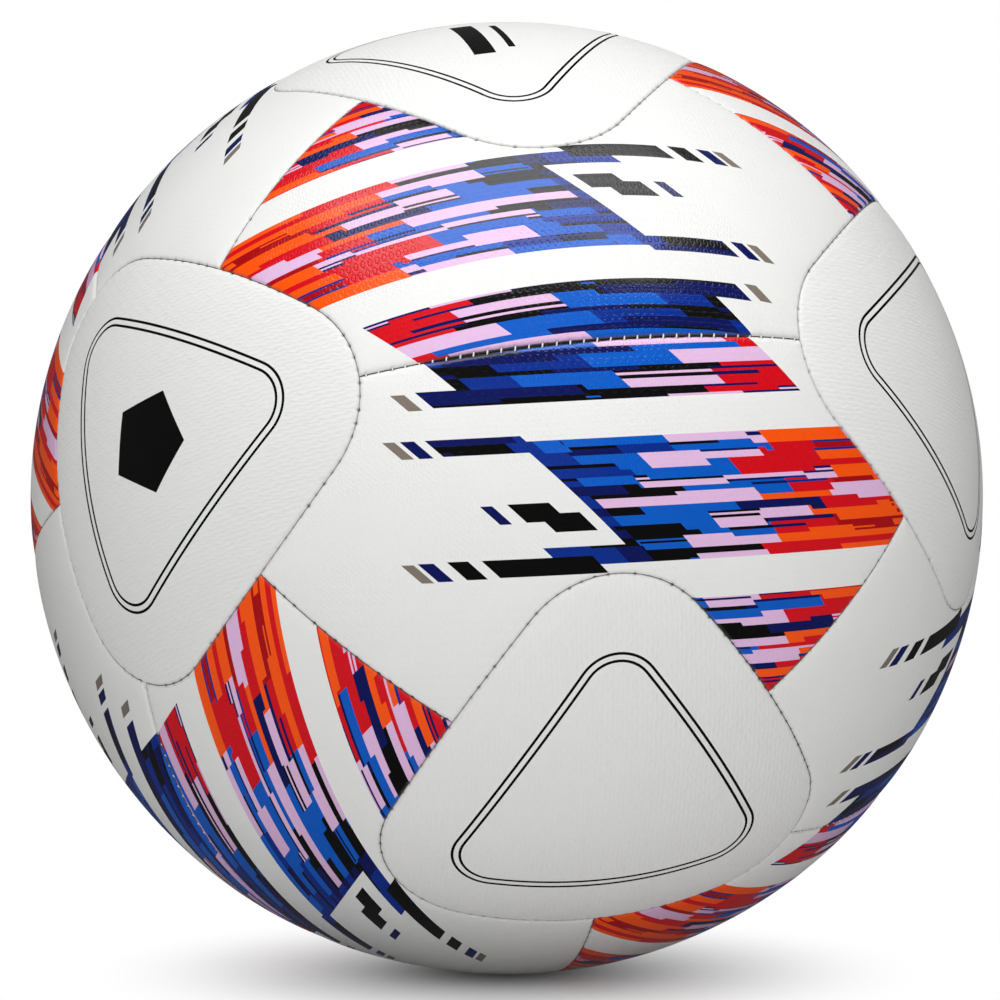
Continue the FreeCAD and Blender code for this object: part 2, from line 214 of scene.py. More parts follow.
class RoundSeam:
    """A seam along the outline of a triangle panel, from one normal angle to another."""

    SAMPLES = 4001

    def __init__(self, axis, towards, first, last, stitches, look):
        z_axis = unit(axis)
        x_axis = unit(np.asarray(towards, float) - z_axis * np.dot(towards, z_axis))
        self.frame = np.stack([x_axis, np.cross(z_axis, x_axis), z_axis])
        self.into = -1 if last > first else 1
        self.stitches = stitches
        self.look = look
        self.closed = abs(last - first) > 2.5 * THIRD
        self.angles = np.linspace(first, last, self.SAMPLES)
        flat = outline_point(SEAM_TRIANGLE, self.angles)
        local = np.concatenate([flat, self._height(flat)], -1)
        steps = np.linalg.norm(np.diff(local, axis=0), axis=1)
        self.lengths = np.concatenate([[0], np.cumsum(steps)])
        self.length = self.lengths[-1]

    @staticmethod
    def _height(flat):
        return np.sqrt(RADIUS ** 2 - (flat ** 2).sum(-1, keepdims=True))

    def at(self, s):
        angle = np.interp(s, self.lengths, self.angles)
        flat = outline_point(SEAM_TRIANGLE, angle)
        height = self._height(flat)
        along = np.stack([-np.sin(angle), np.cos(angle)], -1)
        slope = -(along * flat).sum(-1, keepdims=True) / height
        local = np.concatenate([flat, height], -1) / RADIUS
        outward = np.cross(unit(np.concatenate([along, slope], -1)), local)
        return local @ self.frame, outward @ self.frame * self.into

    def distance(self, points):
        local = points @ self.frame.T
        distance, angle = outline_distance(SEAM_TRIANGLE, local[:, :2] * RADIUS)
        lean = (polar(1.0, angle) * local[:, :2]).sum(-1)
        distance = distance / np.sqrt(np.maximum(1 - lean ** 2, 0.1)) * self.into
        return np.where(local[:, 2] > 0, distance, RADIUS)


class HoleEdge:
    """The edge of a round hole about +Z."""

    closed = True
    stitches = 9

    def __init__(self, radius, look):
        self.angle = math.asin(radius / RADIUS)
        self.length = 2 * math.pi * radius
        self.look = look

    def at(self, s):
        turn = -np.asarray(s, float) / self.length * 2 * math.pi
        ring = np.concatenate([polar(1.0, turn), 0 * turn[..., None]], -1)
        up = np.array([0, 0, 1.0])
        points = math.sin(self.angle) * ring + math.cos(self.angle) * up
        return points, math.cos(self.angle) * ring - math.sin(self.angle) * up

    def distance(self, points):
        return RADIUS * (np.arccos(np.clip(points[:, 2], -1, 1)) - self.angle)


# ---- panels -----------------------------------------------------------------------------------

# Rings of points beside a seam: distance from the panel's edge, and points for each stitch.
RINGS = (
    (0.0, 10), (0.03, 10), (0.1, 10), (0.2, 10), (0.35, 10), (0.56, 5), (0.84, 5), (1.2, 5),
    (1.65, 5), (2.4, 3), (3.3, 3),
)
# Spacing of the points inside the rings and on the underside, laid out wider than any panel.
INSIDE_STEP = 1.3
UNDERSIDE_STEP = 5.0
LATTICE_REACH = 80.0
# Distance along from the nearest stitch, for points that are beside none.
FAR_ALONG = 1e3


def margins(seams, points):
    """Distance of each point from each seam's panel edge."""
    return np.stack([seam.distance(points) - seam.look["gap"] for seam in seams])


def plane_axes(middle):
    """Two directions across the middle direction, right-handed seen from outside."""
    x_axis = unit(np.cross((0.0, 0.0, 1.0) if abs(middle[2]) < 0.9 else (0.0, 1.0, 0.0), middle))
    return x_axis, np.cross(middle, x_axis)


def flatten(points, middle):
    """Equal-area map of the sphere about its middle direction."""
    x_axis, y_axis = plane_axes(middle)
    scale = RADIUS * np.sqrt(2 / (1 + points @ middle))
    return np.stack([points @ x_axis * scale, points @ y_axis * scale], -1)


def unflatten(flat, middle):
    x_axis, y_axis = plane_axes(middle)
    square = (flat ** 2).sum(-1, keepdims=True) / RADIUS ** 2
    scale = np.sqrt(1 - square / 4) / RADIUS
    return flat[:, :1] * scale * x_axis + flat[:, 1:] * scale * y_axis + (1 - square / 2) * middle


def lattice(seams, middle, step, clearance):
    """Evenly spread points inside a panel."""
    rows = np.arange(-LATTICE_REACH, LATTICE_REACH, step * math.sqrt(0.75))
    across = np.arange(-LATTICE_REACH, LATTICE_REACH, step)
    flat = np.array([(x + (k % 2) * step / 2, y) for k, y in enumerate(rows) for x in across])
    points = unflatten(flat[np.hypot(*flat.T) < LATTICE_REACH], middle)
    return points[margins(seams, points).min(0) > clearance]


def triangles(points, middle, outer_count, hole_count):
    """Triangles between points: first outer_count on the rim, then hole_count on a hole's rim."""
    flat = flatten(points, middle)
    rim = list(range(outer_count))
    found = delaunay_2d_cdt([Vector(p) for p in flat], [], [rim], 1, 1e-6)
    if len(found[0]) != len(points):
        raise ValueError("the panel's points do not all stay apart")
    origin = [ids[0] for ids in found[3]]
    faces = np.array([[origin[v] for v in face] for face in found[2]])
    hole = (faces >= outer_count) & (faces < outer_count + hole_count)
    return faces[~hole.all(1)]


def seam_ring(loop, seams, distance, per_stitch):
    """One ring of points beside a loop of seams, each one's seam number and its length along."""
    points, owners, lengths = [], [], []
    for number, seam in enumerate(loop):
        count = seam.stitches * per_stitch
        step = seam.length / count
        s = np.arange(0 if seam.closed else 1, count) * step
        at = beside(*seam.at(s), seam.look["gap"] + distance)
        others = [other for other in seams if other is not seam]
        if others:
            keep = margins(others, at).min(0) > distance + 0.5 * step
            at, s = at[keep], s[keep]
        points.append(at)
        owners += [seams.index(seam)] * len(s)
        lengths.append(s)
        if not seam.closed:
            after = loop[(number + 1) % len(loop)]
            junction, first = seam.at(seam.length)
            second = after.at(0.0)[1]
            first = first * (seam.look["gap"] + distance) / RADIUS
            second = second * (after.look["gap"] + distance) / RADIUS
            points.append(unit(junction + first + second)[None])
            owners.append(seams.index(seam))
            lengths.append([seam.length])
    return np.concatenate(points), np.array(owners), np.concatenate(lengths)


def smooth_step(value, start, end):
    part = np.clip((value - start) / (end - start), 0, 1)
    return part * part * (3 - 2 * part)


def panel_layout(loops, middle):
    """Points, faces and seam facts of one kind of panel, shared by all panels of the kind."""
    middle = unit(middle)
    seams = [seam for loop in loops for seam in loop]
    rims = [seam_ring(loop, seams, *RINGS[0]) for loop in loops]
    rings = [seam_ring(loop, seams, *ring) for ring in RINGS[1:] for loop in loops]
    inside = lattice(seams, middle, INSIDE_STEP, RINGS[-1][0] + 0.6 * INSIDE_STEP)
    under = lattice(seams, middle, UNDERSIDE_STEP, 0.5 * UNDERSIDE_STEP)
    points = np.concatenate([ring[0] for ring in rims + rings] + [inside])
    counts = [len(rim[0]) for rim in rims]
    outer, hole = counts[0], sum(counts[1:])
    rim_points = points[:outer + hole]
    top_faces = triangles(points, middle, outer, hole)
    under_points = np.concatenate([rim_points, under])
    under_faces = triangles(under_points, middle, outer, hole) + len(points)
    walls, start = [], 0
    for count in counts:
        here = np.arange(count) + start
        after = np.roll(here, -1)
        walls.append(np.stack([here, here + len(points), after + len(points), after], -1))
        start += count
    faces = top_faces.tolist() + under_faces[:, ::-1].tolist() + np.concatenate(walls).tolist()

    # For the points beside a seam: the nearest stitch, how far along from it they are, and the
    # direction into the panel.
    count = len(points)
    stitch, sideways = np.zeros((count, 3)), np.zeros((count, 3))
    along, opening, yawn = np.full(count, FAR_ALONG), np.zeros(count), np.zeros(count)
    start = 0
    for ring_points, owners, lengths in rims + rings:
        for number, seam in enumerate(seams):
            chosen = np.flatnonzero(owners == number)
            pitch = seam.length / seam.stitches
            s = lengths[chosen]
            centre = (np.clip(np.floor(s / pitch), 0, seam.stitches - 1) + 0.5) * pitch
            chosen += start
            stitch[chosen] = seam.at(centre)[0]
            sideways[chosen] = seam.at(s)[1]
            along[chosen] = s - centre
            opening[chosen] = seam.look["open"]
            from_end = np.minimum(s, seam.length - s)
            yawn[chosen] = seam.look["yawn"] * smooth_step(from_end, *YAWN_FADE)
        start += len(ring_points)
    return {
        "points": points, "under": under_points, "faces": faces, "seams": seams,
        "margins": margins(seams, points), "under_margins": margins(seams, under_points),
        "stitch": stitch, "along": along, "sideways": sideways, "opening": opening,
        "yawn": yawn,
    }


def scatter(points, salt):
    """A fixed random-looking number from 0 to 1 for each point."""
    value = np.sin(points @ np.array([127.1, 311.7, 74.7]) + salt) * 43758.5453
    return value - np.floor(value)


# Direction and frequency, and phase, of the waves in the cover's slow unevenness.
SWELL_WAVES = (
    ((5.1, 3.3, -4.2), 0.4), ((-7.7, 6.1, 2.9), 1.9), ((3.9, -9.2, 8.3), 2.7),
    ((11.3, 7.9, 9.7), 4.1),
)
SWELL_HEIGHT = 0.07
# How deep the cover lies at its seams, and over what width it puffs up from there.
PUFF_DEPTH = 0.3
PUFF_WIDTH = 3.4
# Marks of a stitch: their size along the seam and away from it.
STITCH_DIP = 0.34
STITCH_DIP_SIZE = (0.42, 0.6)
STITCH_OPENING_SIZE = (0.27, 0.4)
STITCH_HOLE_SIZE = (0.3, 0.32)
# This part of the stitches is slack and pulls this much, where the others pull up to 1.
SLACK_STITCHES = 0.25
SLACK_PULL = 0.15
# A yawning seam's edge curls over this width, by this least part and spread from stitch to stitch.
YAWN_WIDTH = 1.1
YAWN_LEAST = 0.8
YAWN_SPREAD = 0.35


def swell(points):
    """Slow unevenness of the whole cover, about 1 at most."""
    total = sum(np.sin(points @ np.array(wave) + phase) for wave, phase in SWELL_WAVES)
    return total / len(SWELL_WAVES)


def beside_stitch(layout, size):
    """1 at the stitches and less away from them."""
    return np.exp(-(layout["along"] / size[0]) ** 2 - layout["margins"].min(0) / size[1])


def cover_heights(layout, ball_points, strength):
    """Height of the cover above the ball's radius at each point of its top."""
    roll = np.zeros(len(ball_points))
    depth = np.zeros(len(ball_points))
    for seam, margin in zip(layout["seams"], layout["margins"]):
        part = np.clip(1 - margin / seam.look["width"], 0, 1) ** 2
        roll += part
        depth += part * seam.look["depth"]
    depth = depth / np.maximum(roll, 1e-9)
    roll = np.clip(roll, 0, 1)
    nearest = layout["margins"].min(0)
    dip = beside_stitch(layout, STITCH_DIP_SIZE) * strength * STITCH_DIP
    fall = depth * (1 - np.sqrt(1 - roll))
    puff = PUFF_DEPTH * np.exp(-nearest / PUFF_WIDTH)
    return SWELL_HEIGHT * swell(ball_points) - puff - fall - dip


def new_mesh(name, coordinates, faces):
    mesh = bpy.data.meshes.new(name)
    mesh.from_pydata((coordinates * MM).tolist(), [], faces)
    mesh.validate()
    mesh.shade_smooth()
    return mesh


def new_piece(name, mesh, material, node):
    """Adds a piece to the ball that stands for a CAD node."""
    piece = bpy.data.objects.new(name, mesh)
    bpy.context.scene.collection.objects.link(piece)
    mesh.materials.append(material)
    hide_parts(node)
    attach(piece, "root")


def attribute(mesh, name, values):
    """Stores a triple for each vertex. A single number becomes a triple's first part."""
    if values.ndim == 1:
        values = np.stack([values, 0 * values, 0 * values], -1)
    layer = mesh.attributes.new(name, "FLOAT_VECTOR", "POINT")
    layer.data.foreach_set("vector", np.ascontiguousarray(values, np.float32).ravel())


# ---- materials --------------------------------------------------------------------------------

def math_node(operation):
    """A method that applies an operation to a Value and others or plain numbers."""
    return lambda value, *others: value.math(operation, *others)


class Value:
    """A number in a node tree, with the usual arithmetic."""

    __add__ = math_node("ADD")
    __sub__ = math_node("SUBTRACT")
    __mul__ = math_node("MULTIPLY")
    __truediv__ = math_node("DIVIDE")
    __gt__ = math_node("GREATER_THAN")
    __lt__ = math_node("LESS_THAN")
    floor = math_node("FLOOR")
    fraction = math_node("FRACT")
    absolute = math_node("ABSOLUTE")
    sine = math_node("SINE")
    root = math_node("SQRT")
    either = math_node("MAXIMUM")
    smaller = math_node("MINIMUM")

    def __init__(self, tree, socket):
        self.tree = tree
        self.socket = socket

    def math(self, operation, *others):
        node = self.tree.nodes.new("ShaderNodeMath")
        node.operation = operation
        for place, value in zip(node.inputs, (self,) + others):
            plug(self.tree, place, value)
        return Value(self.tree, node.outputs[0])

    def between(self, low, high):
        return (self > low) * (self < high)

    def fade(self, start, end):
        """0 at start, 1 at end, smooth between."""
        node = self.tree.nodes.new("ShaderNodeMapRange")
        node.interpolation_type = "SMOOTHSTEP"
        plug(self.tree, node.inputs["Value"], self)
        node.inputs["From Min"].default_value = start
        node.inputs["From Max"].default_value = end
        return Value(self.tree, node.outputs[0])


def plug(tree, place, value):
    """Links a Value or a socket to an input, or sets the input to a constant."""
    if isinstance(value, Value):
        value = value.socket
    if isinstance(value, bpy.types.NodeSocket):
        tree.links.new(value, place)
    elif place.type == "RGBA":
        place.default_value = (*value[:3], 1.0)
    else:
        place.default_value = value


def colour(red, green, blue):
    """Linear colour from the usual 0 to 255 screen numbers."""
    def linear(c):
        c /= 255
        return c / 12.92 if c <= 0.04045 else ((c + 0.055) / 1.055) ** 2.4
    return linear(red), linear(green), linear(blue)


# Inks of the covers, and the bare edge of the leather where it rolls into a seam.
WHITE = colour(236, 236, 234)
ORANGE = colour(255, 86, 6)
RED = colour(214, 6, 24)
DARK_RED = colour(170, 2, 12)
LILAC = colour(228, 188, 226)
BLUE = colour(0, 90, 196)
DEEP_BLUE = colour(0, 44, 140)
NAVY = colour(6, 18, 88)
BLACK = colour(9, 8, 9)
GREY = colour(128, 118, 108)
CUT_EDGE = colour(96, 92, 88)
# What the leather is mixed with: faint clouds, dirt beside the seams, and painted shade with some
# dirt in the stitch holes.
CLOUD = colour(214, 214, 208)
DIRT = colour(120, 116, 108)
STITCH_HOLE_SHADE_AND_DIRT = colour(60, 57, 54)


class Painter:
    """Node tree of one material."""

    def __init__(self, name):
        self.material = bpy.data.materials.new(name)
        self.material.use_nodes = True
        self.tree = self.material.node_tree
        self.shader = self.tree.nodes["Principled BSDF"]

    def set(self, **inputs):
        for name, value in inputs.items():
            plug(self.tree, self.shader.inputs[name.replace("_", " ")], value)

    def split(self, vector):
        node = self.tree.nodes.new("ShaderNodeSeparateXYZ")
        self.tree.links.new(vector, node.inputs[0])
        return [Value(self.tree, part) for part in node.outputs]

    def attribute(self, name):
        """The three parts of a vertex attribute."""
        node = self.tree.nodes.new("ShaderNodeAttribute")
        node.attribute_name = name
        return self.split(node.outputs["Vector"])

    def place(self):
        """Object coordinates, in metres."""
        return self.tree.nodes.new("ShaderNodeTexCoord").outputs["Object"]

    def noise(self, scale, detail):
        """Smooth noise from 0 to 1 over the object, its scale in 1/m."""
        node = self.tree.nodes.new("ShaderNodeTexNoise")
        self.tree.links.new(self.place(), node.inputs["Vector"])
        node.inputs["Scale"].default_value = scale
        node.inputs["Detail"].default_value = detail
        return Value(self.tree, node.outputs[0])

    def chance(self, x, y, salt):
        """A fixed random number from 0 to 1 for each pair of whole numbers."""
        vector = self.tree.nodes.new("ShaderNodeCombineXYZ")
        for place, value in zip(vector.inputs, (x + 0.5, y + 0.5, salt)):
            plug(self.tree, place, value)
        node = self.tree.nodes.new("ShaderNodeTexWhiteNoise")
        node.noise_dimensions = "3D"
        self.tree.links.new(vector.outputs[0], node.inputs["Vector"])
        return Value(self.tree, node.outputs["Value"])

    def mix(self, factor, first, second):
        node = self.tree.nodes.new("ShaderNodeMixRGB")
        for place, value in zip(node.inputs, (factor, first, second)):
            plug(self.tree, place, value)
        return node.outputs[0]

    def steps(self, value, colours):
        """Picks a colour by value. colours holds (lowest value, colour) pairs."""
        node = self.tree.nodes.new("ShaderNodeValToRGB")
        plug(self.tree, node.inputs[0], value)
        ramp = node.color_ramp
        ramp.interpolation = "CONSTANT"
        while len(ramp.elements) < len(colours):
            ramp.elements.new(1.0)
        for element, (position, shade) in zip(ramp.elements, colours):
            element.position = position
            element.color = (*shade, 1.0)
        return node.outputs[0]

    def bump(self, height, depth, strength=1.0, normal=None):
        """Bump whose height of 1 stands for depth in metres."""
        node = self.tree.nodes.new("ShaderNodeBump")
        plug(self.tree, node.inputs["Height"], height)
        node.inputs["Distance"].default_value = depth
        node.inputs["Strength"].default_value = strength
        if normal:
            self.tree.links.new(normal, node.inputs["Normal"])
        return node.outputs[0]


# Embossing of the leather, in millimetres: rings on the side panels, scales on the triangles.
RING_ROW = 2.45
RING_PITCH = 1.65
RING_HALF_WIDTH = 0.46
RING_HALF_HEIGHT = 0.8
RING_WAVER = 0.7
SCALE_ROW = 1.1
SCALE_WAVER = 1.3


def ring_grain(paint, x, y):
    """Height of the side panels' embossing: rows of small upright rings, x and y in millimetres."""
    rows = (y + (paint.noise(260.0, 2.0) - 0.5) * RING_WAVER) / RING_ROW
    row = rows.floor()
    column = x / RING_PITCH + paint.chance(row, row, 3.0)
    across = (column.fraction() - 0.5) * (RING_PITCH / RING_HALF_WIDTH)
    up = (rows.fraction() - 0.5) * (RING_ROW / RING_HALF_HEIGHT)
    ring = ((across * across + up * up).root() - 1.0).absolute().fade(0.45, 0.0)
    faint = paint.noise(55.0, 1.0).fade(0.35, 0.6) * 0.5 + 0.2
    return ring * faint * -1.7 + scale_lines(rows * 2.0, x, 0.12) * 0.5


def scale_lines(rows, x, swing):
    """Rounded ridges along each whole row, wavy like fish scales."""
    wave = (x * 2.1 + rows.floor() * 2.4).sine() * swing
    return (rows + wave).fraction().fade(0.0, 0.5)


def scale_grain(paint, x, y):
    """Height of the triangle panels' embossing: short wavy scales, x and y in millimetres."""
    waver = paint.noise(300.0, 2.0) - 0.5
    return scale_lines((y + waver * SCALE_WAVER) / SCALE_ROW, x, 0.2) * 2.2


# Roughness and specular level of the leather, and how they differ on ink.
LEATHER_ROUGHNESS = 0.46
INK_SMOOTHER = 0.26
LEATHER_SPECULAR = 0.36
INK_SPECULAR = 0.16
# Depths in metres of its coarse unevenness, and of its embossing and fine grain.
COARSE_DEPTH = 0.0001
GRAIN_DEPTH = 0.00005


def leather(paint, base, ink, seam_distance, grain):
    """Grained synthetic leather with glossier ink, a little dirt beside the seams, and painted
    shade with some dirt in the stitch holes.
    """
    cloud = paint.noise(60.0, 3.0)
    speck = paint.noise(900.0, 2.0)
    stitch_hole_shade_and_dirt = paint.attribute("stitch_hole_shade_and_dirt")[0]
    dirt = (seam_distance.fade(0.9, -0.1) * (speck * 0.5 + 0.35)).smaller(0.5)
    tint = paint.mix(cloud.fade(0.35, 0.7) * (ink * -0.04 + 0.04), base, CLOUD)
    tint = paint.mix(dirt * 0.3, tint, DIRT)
    # Painted shade, with some dirt, darkens the stitch holes where the thread pulls the leather in.
    tint = paint.mix(stitch_hole_shade_and_dirt * 0.65, tint, STITCH_HOLE_SHADE_AND_DIRT)
    roughness = (speck - 0.5) * 0.1 + LEATHER_ROUGHNESS - ink * INK_SMOOTHER
    coarse = paint.bump(paint.noise(420.0, 3.0), COARSE_DEPTH, 0.35)
    height = grain + paint.noise(2600.0, 2.0) * 0.5
    paint.set(
        Base_Color=tint, Roughness=roughness,
        Specular_IOR_Level=ink * INK_SPECULAR + LEATHER_SPECULAR,
        Normal=paint.bump(height, GRAIN_DEPTH, 0.7, coarse),
    )
    return paint.material


# Print of the triangle panels, in millimetres: a line, another this far inside it, a pentagon, and
# two bars (lower and upper edge, half length).
OUTLINE_INK_HALF_WIDTH = 0.3
OUTLINE_PITCH = 1.6
PENTAGON_REACH = 9.5
PENTAGON_TURN = 0.35
BARS = ((-5.5, -0.5, 14.0), (3.0, 4.6, 11.0))


def white_leather(name, mark):
    """Cover of a triangle panel: a double printed line, and on some a plain generic mark."""
    paint = Painter(name)
    x, y, seam_distance = paint.attribute("cover_place")
    rim = paint.attribute("cover_rim")[0]
    ink = (rim.absolute() < OUTLINE_INK_HALF_WIDTH).either(
        (rim + OUTLINE_PITCH).absolute() < OUTLINE_INK_HALF_WIDTH)
    if mark == "pentagon":
        turns = [2 * math.pi * number / 5 + PENTAGON_TURN for number in range(5)]
        sides = [x * math.cos(turn) + y * math.sin(turn) for turn in turns]
        reach = sides[0]
        for side in sides[1:]:
            reach = reach.either(side)
        ink = ink.either(reach < PENTAGON_REACH)
    if mark == "bars":
        for low, high, half_length in BARS:
            ink = ink.either(y.between(low, high) * (x.absolute() < half_length))
    base = paint.mix(ink, WHITE, BLACK)
    return leather(paint, base, ink, seam_distance, scale_grain(paint, x, y))


# The print of a side panel: bands of stepped bars in rows. u runs along the diagonal seam and w
# away from it, in degrees of arc, and the ends of the bars slant along u + SLANT * w.
SLANT = 0.95
ROW = 1.15
# How much the rows' heights waver, in rows, and the length over which a row may jog by half a row.
ROW_WAVER = 0.14
JOG_LENGTH = 11.0
# The shortest bar, and by how much others are longer at most.
SHORTEST_BAR = 6.0
BAR_SPREAD = 7.0
# A bar's colour follows its place in a run, from 0 to 1. A run starts this lead before u = 0 and
# is this long, in the band by the diagonal seam and in the others. The outermost is a bit ahead.
DIAGONAL_BAND = 8.5
DIAGONAL_LEAD, DIAGONAL_RUN = 27.0, 30.0
OUTER_LEAD, OUTER_RUN = 43.0, 53.0
OUTERMOST_BAND = (29.0, 60.0)
OUTERMOST_AHEAD = 3.0
# First place of the diagonal band, last place of the others, how much sooner the diagonal band
# ends, and the slanted u from which the thin ends are dark.
DIAGONAL_FIRST = 0.36
LAST_PLACE = 0.88
DIAGONAL_SOONER = 0.03
TAIL_START = 19.0
# Random shift in place of each bar, and of each whole row, and what picks the random draws.
BAR_STRAY = 0.12
ROW_STRAY = 0.2
SALT = 11.0
# Some bars have a sliver of another colour: its height in rows, and the part without one.
SLIVER_HEIGHT = 0.27
WITHOUT_SLIVER = 0.62
# Colours by place. Pale and dark rows take turns.
PALE_STEPS = (
    (0.0, ORANGE), (0.10, LILAC), (0.14, ORANGE), (0.30, RED), (0.37, LILAC), (0.63, BLUE),
    (0.68, LILAC), (0.74, BLUE), (0.82, DEEP_BLUE), (0.88, BLACK),
)
DARK_STEPS = (
    (0.0, RED), (0.05, ORANGE), (0.12, RED), (0.20, DARK_RED), (0.24, RED), (0.39, NAVY),
    (0.43, BLUE), (0.54, BLACK), (0.60, BLUE), (0.67, DEEP_BLUE), (0.74, BLACK), (0.82, NAVY),
    (0.91, DEEP_BLUE),
)
SLIVER_STEPS = ((0.0, DARK_RED), (0.14, LILAC), (0.20, DEEP_BLUE), (0.34, NAVY), (0.50, BLACK))
# Bands and their thin ends: lower and upper w, first and last slanted u. The outermost band
# reaches from a w outwards, up to a u.
BANDS = (
    (-9.0, 7.1, -18.4, 20.6),
    (5.2, 7.1, 0.0, 25.2),
    (11.35, 25.3, -99.0, 20.6),
    (10.7, 12.6, 19.6, 30.2),
    (23.2, 24.4, 0.0, 30.6),
    (24.3, 25.3, 0.0, 26.0),
)
OUTERMOST_FROM_W = 29.7
OUTERMOST_TO_U = -4.0
# Single bars at the dashed ends: lower and upper w, first and last slanted u, ink.
DASHES = (
    (5.4, 7.3, 26.6, 28.2, GREY),
    (10.7, 12.7, 31.4, 33.0, NAVY),
    (10.7, 12.7, 33.6, 35.0, GREY),
    (19.4, 21.5, 22.2, 27.2, BLACK),
    (18.2, 20.3, 24.5, 29.3, BLACK),
    (18.3, 20.4, 31.1, 32.5, NAVY),
    (24.3, 26.3, 25.8, 39.1, BLACK),
    (24.3, 26.4, 40.7, 43.2, BLACK),
    (24.4, 26.5, 44.9, 46.8, NAVY),
    (24.5, 26.6, 47.4, 48.9, GREY),
)


def printed_bars(paint, u, w):
    """Colour of the stepped bars: warm at the low end of u, then lilac, blue and black."""
    slanted = u + w * SLANT
    level = w / ROW + (w * 1.9).sine() * ROW_WAVER
    row = level.floor()
    strip = ((slanted + paint.chance(row, row, SALT) * 23.0) / JOG_LENGTH).floor()
    level = level + (paint.chance(strip, row, SALT + 1.0) > 0.5) * 0.5
    row = level.floor()
    length = paint.chance(row, row, SALT + 2.0) * BAR_SPREAD + SHORTEST_BAR
    offset = paint.chance(row, row, SALT + 3.0) * 37.0
    cell = ((slanted + offset) / length).floor()
    middle = (cell + 0.5) * length - offset - (row + 0.5) * (ROW * SLANT)
    stray = (paint.chance(cell, row, SALT + 4.0) - 0.5) * BAR_STRAY
    row_stray = (paint.chance(row, row, SALT + 5.0) - 0.5) * ROW_STRAY
    by_diagonal = w < DIAGONAL_BAND
    ahead = w.between(*OUTERMOST_BAND) * OUTERMOST_AHEAD
    run = (middle + ahead + OUTER_LEAD) / OUTER_RUN
    run = run * (by_diagonal * -1.0 + 1.0) + by_diagonal * ((middle + DIAGONAL_LEAD) / DIAGONAL_RUN)
    last = by_diagonal * -DIAGONAL_SOONER + LAST_PLACE
    run = run.either(by_diagonal * DIAGONAL_FIRST).smaller(last)
    place = run + stray + row_stray * (by_diagonal * -0.5 + 1.0)
    place = place.either((slanted > TAIL_START) * (stray + LAST_PLACE))
    dark_row = (row * 0.5).fraction() > 0.25
    bars = paint.mix(dark_row, paint.steps(place, PALE_STEPS), paint.steps(place, DARK_STEPS))
    has_sliver = paint.chance(cell, row, SALT + 6.0) > WITHOUT_SLIVER
    sliver = (level.fraction() < SLIVER_HEIGHT) * has_sliver
    return paint.mix(sliver, bars, paint.steps(place, SLIVER_STEPS))


def printed_leather():
    """Cover of a side panel: three bands of stepped coloured bars with dashes at one end."""
    paint = Painter("printed_leather")
    u, w, seam_distance = paint.attribute("cover_place")
    slanted = u + w * SLANT
    ink = (w > OUTERMOST_FROM_W) * (u < OUTERMOST_TO_U)
    for low, high, first, last in BANDS:
        ink = ink.either(w.between(low, high) * slanted.between(first, last))
    # Ink stops just before the panel's edge.
    on_face = seam_distance > paint.noise(700.0, 2.0) * 0.1 + 0.02
    inks = paint.mix(ink, WHITE, printed_bars(paint, u, w))
    for low, high, first, last, shade in DASHES:
        dash = w.between(low, high) * slanted.between(first, last)
        inks = paint.mix(dash, inks, shade)
        ink = ink.either(dash)
    inks = paint.mix(on_face, CUT_EDGE, inks)
    ink = ink * on_face
    millimetres = RADIUS * math.pi / 180
    grain = ring_grain(paint, u * millimetres, w * millimetres)
    return leather(paint, inks, ink, seam_distance, grain)


def simple_material(name, base, shade, roughness, scale, depth, **more):
    """Moulded or foamed material: two tones in a noise, with bump of the same noise."""
    paint = Painter(name)
    noise = paint.noise(scale, 4.0)
    paint.set(
        Base_Color=paint.mix(noise.fade(0.3, 0.7), base, shade),
        Roughness=noise * 0.15 + (roughness - 0.07),
        Normal=paint.bump(noise, depth),
        **more,
    )
    return paint.material


def woven_material(name, base, shade, threads_per_metre):
    """Plain weave over object coordinates."""
    paint = Painter(name)
    x, y, z = [part * (2 * math.pi * threads_per_metre) for part in paint.split(paint.place())]
    weave = (x + z).sine() * (y - z).sine() * 0.5 + 0.5
    paint.set(
        Base_Color=paint.mix(weave, shade, base), Roughness=0.9, Normal=paint.bump(weave, 0.0002),
        Sheen_Weight=0.3,
    )
    return paint.material


def thread_material():
    """Waxed white thread, twisted."""
    paint = Painter("waxed_thread")
    along = paint.attribute("thread_place")[0]
    twist = (along * 9.0).sine() * 0.5 + 0.5
    fibre = paint.noise(5000.0, 3.0)
    paint.set(
        Base_Color=paint.mix(
            fibre.fade(0.35, 0.75) * 0.3, colour(240, 240, 235), colour(170, 168, 160)),
        Roughness=0.5, Normal=paint.bump(twist + fibre * 0.4, 0.00004),
    )
    return paint.material


# ---- putting the ball together ----------------------------------------------------------------

def area_centre(mesh):
    """Middle of a mesh's surface."""
    areas = np.zeros(len(mesh.polygons))
    centres = np.zeros(len(mesh.polygons) * 3)
    mesh.polygons.foreach_get("area", areas)
    mesh.polygons.foreach_get("center", centres)
    return areas @ centres.reshape(-1, 3)


def ball_turn():
    """Rotation from the cube to the ball as packed, from where its triangle panels are."""
    match = np.zeros((3, 3))
    for name in CORNERS:
        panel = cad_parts["triangle_panel_" + name]
        match += np.outer(unit(area_centre(panel.data)), corner(name))
    left, _, right = np.linalg.svd(match)
    return left @ np.diag([1, 1, np.linalg.det(left @ right)]) @ right


